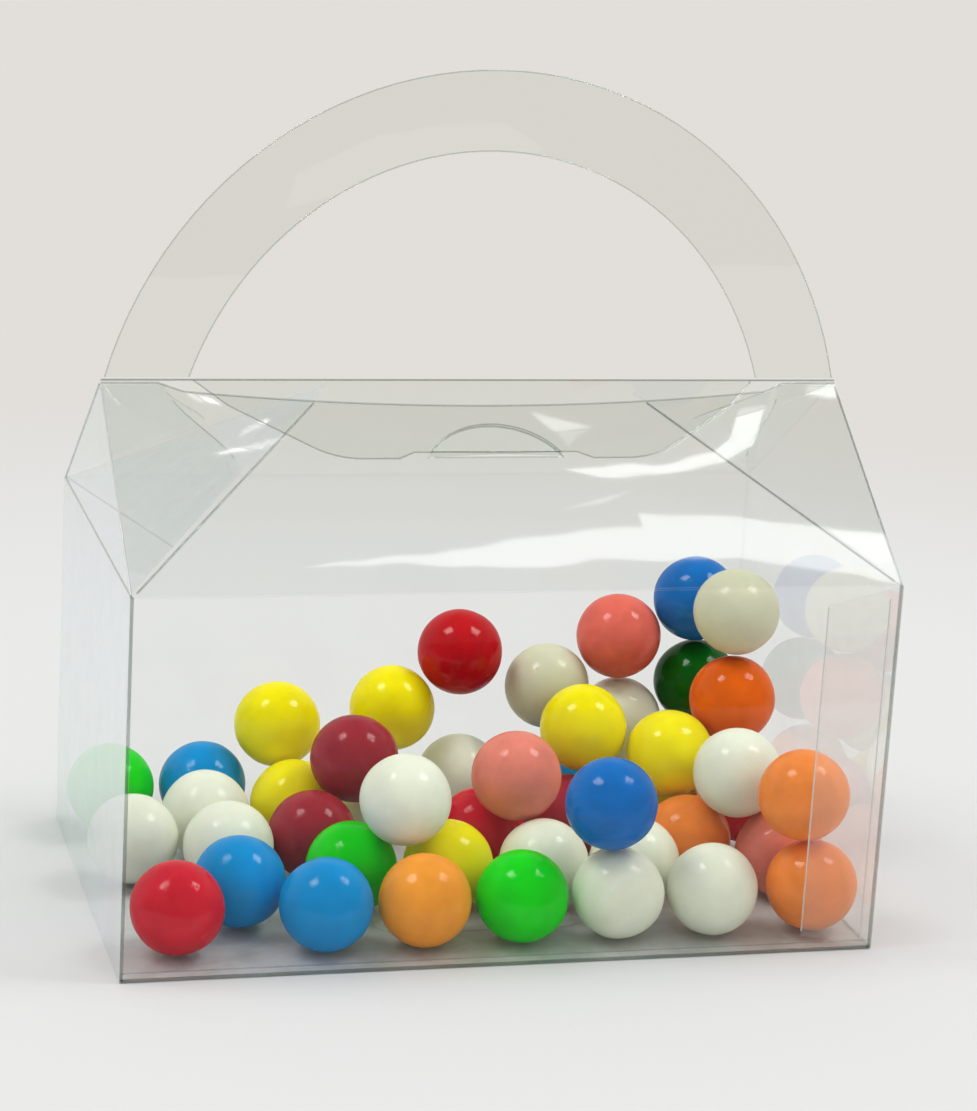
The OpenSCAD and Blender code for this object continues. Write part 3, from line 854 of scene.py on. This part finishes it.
def make_table():
    """Pale table: plain paint near the box, evenly pale farther off."""
    material, tree, output = new_material("pale table")
    place = add(tree, "ShaderNodeTexCoord")
    distance = add(tree, "ShaderNodeVectorMath", {"operation": "LENGTH"})
    join(tree, place.outputs["Object"], distance.inputs[0])
    smooth = {"interpolation_type": "SMOOTHSTEP"}
    far = add(tree, "ShaderNodeMapRange", smooth, From_Min=0.3, From_Max=0.7)
    join(tree, distance.outputs["Value"], far.inputs["Value"])
    paint = add(tree, "ShaderNodeBsdfDiffuse", Color=(*TABLE_PAINT, 1))
    even = add(tree, "ShaderNodeEmission", Color=(*TABLE_FAR_OFF, 1))
    mix = add(tree, "ShaderNodeMixShader")
    join(tree, far.outputs["Result"], mix.inputs[0])
    join(tree, paint.outputs[0], mix.inputs[1])
    join(tree, even.outputs[0], mix.inputs[2])
    join(tree, mix.outputs[0], output.inputs["Surface"])
    return material


TABLE_EDGE = -0.272
ROOM_SIDE = 6
ROOM_END = 9


def strip(front_y, back_y):
    """The corners of a strip of table, as wide as the room."""
    front = [(-ROOM_SIDE, front_y, 0), (ROOM_SIDE, front_y, 0)]
    back = [(ROOM_SIDE, back_y, 0), (-ROOM_SIDE, back_y, 0)]
    return front + back


table_look = make_table()
sheet("table", strip(TABLE_EDGE, ROOM_END), table_look)
before = sheet("table_before", strip(-ROOM_END, TABLE_EDGE), table_look)
before.visible_glossy = False


# %% Room
BACKDROP = (0.76, 0.745, 0.71)
PLAIN_LIGHT = (1.0, 0.99, 0.975)


def make_room():
    """Pale behind the box, dim before and above it in mirrors, even for plain light."""
    world = bpy.data.worlds.new("pale room")
    bpy.context.scene.world = world
    world.use_nodes = True
    tree = world.node_tree
    tree.nodes.clear()
    output = add(tree, "ShaderNodeOutputWorld")
    way = add(tree, "ShaderNodeTexCoord")
    parts = add(tree, "ShaderNodeSeparateXYZ")
    join(tree, way.outputs["Generated"], parts.inputs[0])
    smooth = {"interpolation_type": "SMOOTHSTEP"}
    behind = add(tree, "ShaderNodeMapRange", smooth, From_Min=-0.2, From_Max=0.5, To_Min=0.2)
    join(tree, parts.outputs["Y"], behind.inputs["Value"])
    fall = {"From_Min": 0.5, "From_Max": 0.9, "To_Min": 1.0, "To_Max": 0.3}
    overhead = add(tree, "ShaderNodeMapRange", smooth, **fall)
    join(tree, parts.outputs["Z"], overhead.inputs["Value"])
    dim = add(tree, "ShaderNodeMath", {"operation": "MULTIPLY"})
    join(tree, behind.outputs["Result"], dim.inputs[0])
    join(tree, overhead.outputs["Result"], dim.inputs[1])
    mirrored = add(tree, "ShaderNodeBackground", Color=(*BACKDROP, 1))
    join(tree, dim.outputs[0], mirrored.inputs["Strength"])
    height = add(tree, "ShaderNodeMapRange", To_Min=0.60, To_Max=0.95)
    join(tree, parts.outputs["Z"], height.inputs["Value"])
    plain = add(tree, "ShaderNodeBackground", Color=(*PLAIN_LIGHT, 1))
    join(tree, height.outputs["Result"], plain.inputs["Strength"])
    backdrop = add(tree, "ShaderNodeBackground", Color=(*BACKDROP, 1))
    path = add(tree, "ShaderNodeLightPath")
    shown = add(tree, "ShaderNodeMath", {"operation": "MAXIMUM"})
    join(tree, path.outputs["Is Glossy Ray"], shown.inputs[0])
    join(tree, path.outputs["Is Transmission Ray"], shown.inputs[1])
    choose = add(tree, "ShaderNodeMixShader")
    join(tree, shown.outputs[0], choose.inputs[0])
    join(tree, plain.outputs[0], choose.inputs[1])
    join(tree, mirrored.outputs[0], choose.inputs[2])
    whole = add(tree, "ShaderNodeMixShader")
    join(tree, path.outputs["Is Camera Ray"], whole.inputs[0])
    join(tree, choose.outputs[0], whole.inputs[1])
    join(tree, backdrop.outputs[0], whole.inputs[2])
    join(tree, whole.outputs[0], output.inputs["Surface"])
    return world


print("set up the table and", make_room().name)


# %% Two softboxes
def softbox(name, place, target, size, power):
    """A square lamp that faces a point."""
    lamp_data = bpy.data.lights.new(name, "AREA")
    lamp_data.shape = "SQUARE"
    lamp_data.size = size
    lamp_data.energy = power
    lamp = bpy.data.objects.new(name, lamp_data)
    bpy.context.scene.collection.objects.link(lamp)
    aim = (Vector(target) - Vector(place)).to_track_quat("-Z", "Y")
    lamp.matrix_world = Matrix.Translation(place) @ aim.to_matrix().to_4x4()
    lamp.visible_camera = False
    return lamp


BALL_HEAP = (0, 0, 0.06)
softbox("left_softbox", (-0.82, 0.02, 1.45), BALL_HEAP, size=0.48, power=8)
softbox("right_softbox", (0.93, -0.18, 1.45), BALL_HEAP, size=0.54, power=10)
print("hung two softboxes")

# %% [markdown]
# The roof mirrors the ceiling. Its long white streak is the mirror image of a
# window there, and the smaller glints are other bright patches. Each patch is
# written as its outline on the roof, in millimetres across and up the slope, and
# is thrown back from the roof on to the ceiling, where a glowing panel is hung.
# The handle mirrors two patches that lie on the table, placed in the same way.

# %% Patches of light seen in the film
CEILING = 1.6
ON_TABLE = 0.001
HANDLE_LEAN = math.radians(5)
handle_up = Vector((0, -math.sin(HANDLE_LEAN), math.cos(HANDLE_LEAN)))
handle_out = Vector((0, -math.cos(HANDLE_LEAN), -math.sin(HANDLE_LEAN)))


def thrown_back(origin, up, out, height, spot):
    """The point at this height that the camera sees mirrored at a spot of a flat panel."""
    across = spot[0] / 1000
    along = spot[1] / 1000
    point = origin + Vector((across, 0, 0)) + up * along
    sight = (point - camera.matrix_world.translation).normalized()
    bounced = sight - 2 * sight.dot(out) * out
    return point + bounced * ((height - point.z) / bounced.z)


def glow(strength):
    """Plain white light of one strength."""
    material, tree, output = new_material(f"glow {strength}")
    light = add(tree, "ShaderNodeEmission", Strength=strength)
    join(tree, light.outputs[0], output.inputs["Surface"])
    return material


ROOF = (front_eave, front_up, front_out, CEILING)
HANDLE = (ridge, handle_up, handle_out, ON_TABLE)
WINDOW_TOP = [(-58, 9), (-32, 12), (-4, 17), (20, 20), (35, 21), (35, 26), (57, 25), (78, 21)]
WINDOW_FOOT = [(102, 17), (104, 0), (91, 5), (59, 11), (32, 10), (-6, 9)]
FLAP_OUTER = [(80, 66), (72, 64), (66, 52), (60, 47), (46, 44), (32, 43), (17, 42)]
FLAP_INNER = [(26, 39), (46, 40), (62, 43), (72, 50), (77, 60)]
HANDLE_TOP = [(-55, 46), (-52, 56), (-32, 66), (-14, 69), (1, 70), (14, 63), (-6, 58), (-30, 54)]
GLINTS = {
    "window": (ROOF, 2.6, WINDOW_TOP + WINDOW_FOOT),
    "flap_side": (ROOF, 3.4, FLAP_OUTER + FLAP_INNER),
    "flap_patch": (ROOF, 2.2, [(12, 63), (29, 57), (20, 50)]),
    "left_slash": (ROOF, 6.0, [(-75, 48), (-67, 51), (-55, 54), (-62, 50)]),
    "upper_slash": (ROOF, 6.0, [(-68, 54), (-60, 58), (-58, 61), (-65, 57)]),
    "corner_spot": (ROOF, 6.0, [(-80, 71), (-73, 69), (-70, 66), (-77, 68)]),
    "long_scratch": (ROOF, 1.6, [(13, 27), (25, 30), (37, 35), (24, 31)]),
    "ridge_end": (ROOF, 2.6, [(93, 74), (103, 74), (101, 69), (91, 69)]),
    "handle_legs": (HANDLE, 0.6, [(-110, 0), (-110, 27), (90, 33), (110, 33), (110, 0)]),
    "handle_top": (HANDLE, 0.6, HANDLE_TOP),
}
for name, (panel, strength, outline) in GLINTS.items():
    corners = [thrown_back(*panel, spot) for spot in outline]
    sheet(name, corners, glow(strength), mirrored_only=True)
print("hung", len(GLINTS), "patches of light")

# %% Show colours as they are written
bpy.context.scene.view_settings.view_transform = "Standard"
